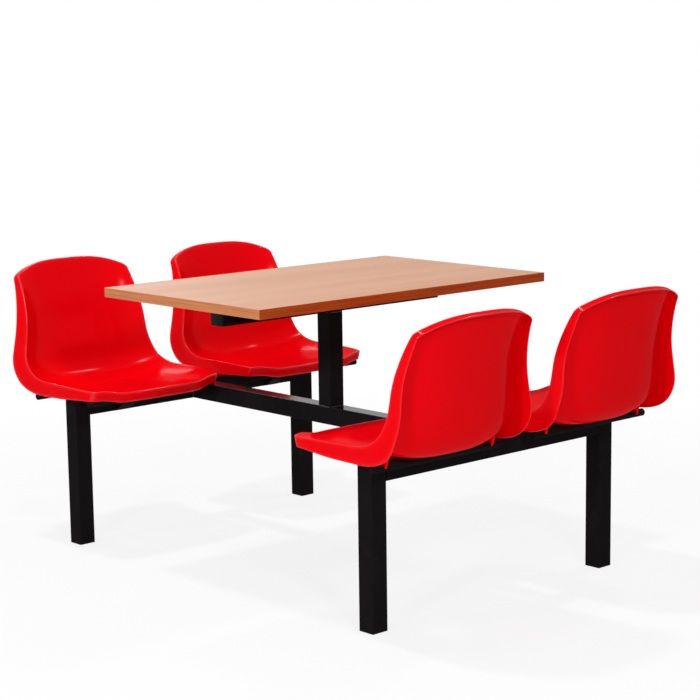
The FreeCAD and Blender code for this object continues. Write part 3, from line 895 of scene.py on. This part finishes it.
def bead_skin(start, end, outward, seed):
    """A bead from start to end. Its radius is the product of an ellipse at the tips and a ripple
    of |sin|, and its centre line wanders sideways by the sum of two slow sines."""
    start, end, outward = (np.array(v, float) for v in (start, end, outward))
    length = np.linalg.norm(end - start)
    axis = (end - start) / length
    outward = outward / np.linalg.norm(outward)
    side = np.cross(axis, outward)
    share = (1 - np.cos(np.linspace(0, math.pi, BEAD_ROWS + 2)[1:-1])) / 2
    phase = share * length / RIPPLE_PITCH * math.pi + seed
    from_tip = np.minimum(1, np.minimum(share, 1 - share) * length / BEAD_TAPER)
    puddles = RIPPLE[0] + RIPPLE[1] * np.abs(np.sin(phase))
    radius = BEAD_RADIUS * np.sqrt(1 - (1 - from_tip) ** 2) * puddles
    wander = sum(size * np.sin(share * waves + times * seed) for size, waves, times in WANDER)
    turn = np.linspace(0, 2 * math.pi, BEAD_SIDES, endpoint=False)[None, :, None]
    circle = np.cos(turn) * outward + np.sin(turn) * side
    centres = start + share[:, None] * (end - start) + wander[:, None] * side
    rings = centres[:, None] + radius[:, None, None] * circle
    return rings * MM, start * MM, end * MM


def frame_beads():
    """Beads between post and spine, post and rail, and spine and seat beams: each line is its
    two ends and the direction in which the bead bulges."""
    half, run, reach = TUBE / 2, TUBE / 2 - TUBE_CORNER, BEAM_Y - TUBE / 2
    lines = []
    for sign in (-1, 1):
        for level, lean in ((BEAM_TOP, 1), (RAIL_BOTTOM, -1)):
            lines.append(((-run, sign * half, level), (run, sign * half, level), (0, sign, lean)))
            lines.append(((sign * half, -run, level), (sign * half, run, level), (sign, 0, lean)))
        for side in (-1, 1):
            low = (side * half, sign * reach, BEAM_BOTTOM + TUBE_CORNER)
            high = (side * half, sign * reach, BEAM_TOP - TUBE_CORNER)
            lines.append((low, high, (side, -sign, 0)))
    return [bead_skin(*line, seed=i * BEAD_SEED_STEP) for i, line in enumerate(lines)]


beads = frame_beads()
make_piece("frame_weld_beads", beads, WELD_PAINT, ["weld_beads"])
print("beads", len(beads))

# %% [markdown]
# ## Broken edges on flat steel and moulded caps
#
# Sawn bar and moulded caps never have knife edges. A narrow bevel gives every edge the thin line
# of light that tells the eye how thick the piece is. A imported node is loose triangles, so the
# bevel works on a copy whose points are merged and whose flat regions are one face again.

# %% Bevelled copies
EDGE_WIDTHS = {                 # millimetres, by a word of the node's name
    "arm": 0.7, "stay": 0.7, "bearer": 0.6, "foot": 0.8, "rail_cap": 0.7, "leg_top": 0.5}
MERGE_DISTANCE = 0.00002        # metres
FLAT_ANGLE = math.radians(1)
SHARP_ANGLE = math.radians(35)


def broken_edges(node, width):
    """A merged copy of the node, with a two-step bevel on every sharp edge."""
    mesh = bpy.data.meshes.new(node + "_finished")
    solid = bmesh.new()
    solid.from_mesh(nodes[node].data)
    bmesh.ops.remove_doubles(solid, verts=solid.verts, dist=MERGE_DISTANCE)
    bmesh.ops.dissolve_limit(
        solid, angle_limit=FLAT_ANGLE, verts=solid.verts, edges=solid.edges)
    solid.to_mesh(mesh)
    solid.free()
    mesh.polygons.foreach_set("use_smooth", [True] * len(mesh.polygons))
    mesh.materials.append(finish_for(node))
    piece = bpy.data.objects.new(node + "_finished", mesh)
    bpy.context.scene.collection.objects.link(piece)
    bevel = piece.modifiers.new("broken_edges", "BEVEL")
    bevel.width = width * MM
    bevel.segments = 2
    bevel.limit_method = "ANGLE"
    bevel.angle_limit = SHARP_ANGLE
    bevel.harden_normals = True
    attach(piece, "root")
    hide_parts(node)
    return piece


bevelled = [
    broken_edges(node, width) for node in sorted(nodes)
    for word, width in EDGE_WIDTHS.items() if f"_{word}_" in f"_{node}_"]
print("bevelled copies", len(bevelled))

# %% [markdown]
# ## Screws under the board
#
# Twelve hexagon-headed wood screws hold the bearers to the board. The face of a real head is
# chamfered to a circle, which the wrench slips over. A ring of 24 points can be either shape: it
# starts as a circle and becomes a hexagon a fraction of a millimetre further on.

# %% Screws
BOARD_SCREW_X = (-330.0, 0.0, 330.0)
BOARD_SCREW_Y = (-225.0, -60.0, 60.0, 225.0)
HEAD_LEVEL = 735.0 - 3.5        # underside of the bearers, less the head's height
HEAD_RADIUS = 4.6               # over the corners
SCREW_SIDES = 24
SCREW_RINGS = [                 # height above the head's face, radius of a circle or "hexagon"
    (0.0, 3.75), (0.1, 3.9), (0.7, "hexagon"), (3.5, "hexagon"), (3.5, 2.5), (29.0, 2.5)]


def screw_skin(x, y):
    """Circles, and hexagons whose radius is the flat's distance over the cosine of the turn."""
    turn = np.linspace(0, 2 * math.pi, SCREW_SIDES, endpoint=False)
    flat = HEAD_RADIUS * math.cos(math.pi / 6)
    hexagon = flat / np.cos((turn % (math.pi / 3)) - math.pi / 6)
    height = np.array([row[0] for row in SCREW_RINGS])
    reach = np.array([
        hexagon if radius == "hexagon" else np.full(SCREW_SIDES, radius)
        for _, radius in SCREW_RINGS])
    level = HEAD_LEVEL + height[:, None] + 0 * turn
    rings = np.stack([x + reach * np.cos(turn), y + reach * np.sin(turn), level], -1)
    first = np.array([x, y, HEAD_LEVEL])
    return rings * MM, first * MM, (first + [0, 0, height[-1]]) * MM


screws = [screw_skin(x, y) for x in BOARD_SCREW_X for y in BOARD_SCREW_Y]
make_piece("hexagon_screws", screws, ZINC, ["board_screws"])
print("screws", len(screws))

# %% [markdown]
# ## Studio
#
# The unit stands on a plain pale floor in front of plain white. The floor and the world are seen
# as white by camera, mirror and glass rays only, so the background doesn't have to be lit up and
# the colours keep the level they are written at. The floor's own part of that mix still takes
# the soft shadow of the frame.

# %% World and floor
FLOOR_HALF = 60.0               # metres
FLOOR_GLOW = 0.84               # the floor's share of plain white near the model
FADE_DISTANCE = (1.0, 2.8)      # metres over which that share grows to the whole
SKY_LEVEL = 0.19                # the light that the white surroundings throw on things


def seen_directly(recipe):
    """1 for camera, glossy and transmission rays, 0 for the light that falls on things."""
    seen = recipe.add("ShaderNodeLightPath", output="Is Camera Ray")
    for kind in ("Glossy", "Transmission"):
        ray = recipe.add("ShaderNodeLightPath", output=f"Is {kind} Ray")
        seen = seen.combine("MAXIMUM", seen, ray)
    return seen


def studio_world():
    """White to look at, and a weak even light on everything."""
    world = bpy.data.worlds.new("white_studio")
    bpy.context.scene.world = world
    recipe = Recipe(world, "Background")
    seen = seen_directly(recipe)
    return recipe.finish(Color=(1, 1, 1, 1), Strength=seen + (1 - seen) * SKY_LEVEL)


def floor_material():
    """Part pale paint and part plain white. The white grows to the whole with the distance from
    the origin, which is the length of the position, so that floor and sky meet unseen."""
    recipe = new_material("pale_floor")
    grain = recipe.noise(40.0, 3.0)
    colour = recipe.mix((0.90, 0.90, 0.90, 1), (0.94, 0.94, 0.94, 1), grain)
    recipe.finish(Base_Color=colour, Roughness=0.75, Specular_IOR_Level=0.0)
    distance = recipe.add(
        "ShaderNodeVectorMath", {"operation": "LENGTH"}, {0: recipe.place}, "Value")
    white = FLOOR_GLOW + recipe.step(distance, *FADE_DISTANCE) * (1 - FLOOR_GLOW)
    glow = recipe.add("ShaderNodeEmission", None, {"Color": (1, 1, 1, 1), "Strength": 1.0})
    shader = Wire(recipe, recipe.shader.outputs[0])
    both = recipe.add(
        "ShaderNodeMixShader", None, {0: seen_directly(recipe) * white, 1: shader, 2: glow})
    recipe.feed(recipe.tree.nodes["Material Output"].inputs["Surface"], both)
    return recipe.owner


def studio_floor():
    """One large quad, level with the underside of the feet."""
    mesh = bpy.data.meshes.new("studio_floor")
    corners = np.array([(-1, -1, 0), (1, -1, 0), (1, 1, 0), (-1, 1, 0)]) * FLOOR_HALF
    mesh.from_pydata(corners.tolist(), [], [(0, 1, 2, 3)])
    mesh.materials.append(floor_material())
    floor = bpy.data.objects.new("studio_floor", mesh)
    bpy.context.scene.collection.objects.link(floor)
    return floor


studio_world()
print(studio_floor().name)

# %% [markdown]
# ## Lamps
#
# Seven soft boxes light the set, each for a job of its own. The key and side boxes stand on the
# left, so the short edges of the top are brighter than the long ones. The front box lights the
# backs of the near seats. The top box is for the table top and the pans. The right box keeps the
# black steel from going flat, and the back and far boxes draw thin lines of light along the rims.
# They are small for their power: a small bright lamp gives plastic a crisp highlight, while a
# large one lays a grey veil over the colour.

# %% Soft boxes
LAMPS = {
    # place, width and height in metres, power in watts
    "key_box": ((-4.5, -2.0, 2.4), (0.45, 0.38), 62.0),
    "side_box": ((-4.6, 1.2, 2.3), (0.52, 0.38), 32.0),
    "front_box": ((-2.0, -4.2, 2.9), (0.45, 0.45), 60.0),
    "top_box": ((-0.9, 0.9, 4.6), (0.3, 0.3), 80.0),
    "right_box": ((2.4, -0.4, 4.2), (0.45, 0.45), 36.0),
    "back_box": ((2.3, 4.4, 2.7), (1.1, 0.4), 22.0),
    "far_box": ((-1.6, 4.6, 3.0), (0.52, 0.38), 14.0),
}
AIM = Vector((0.0, 0.0, 0.45))  # all of them point at the middle of the unit
for name, (place, size, power) in LAMPS.items():
    lamp = bpy.data.lights.new(name, "AREA")
    lamp.shape = "RECTANGLE"
    lamp.size, lamp.size_y = size
    lamp.energy = power
    box = bpy.data.objects.new(name, lamp)
    box.location = place
    box.rotation_euler = (AIM - Vector(place)).to_track_quat("-Z", "Y").to_euler()
    bpy.context.scene.collection.objects.link(box)
bpy.context.scene.view_settings.view_transform = "Standard"
print("lamps", list(LAMPS))
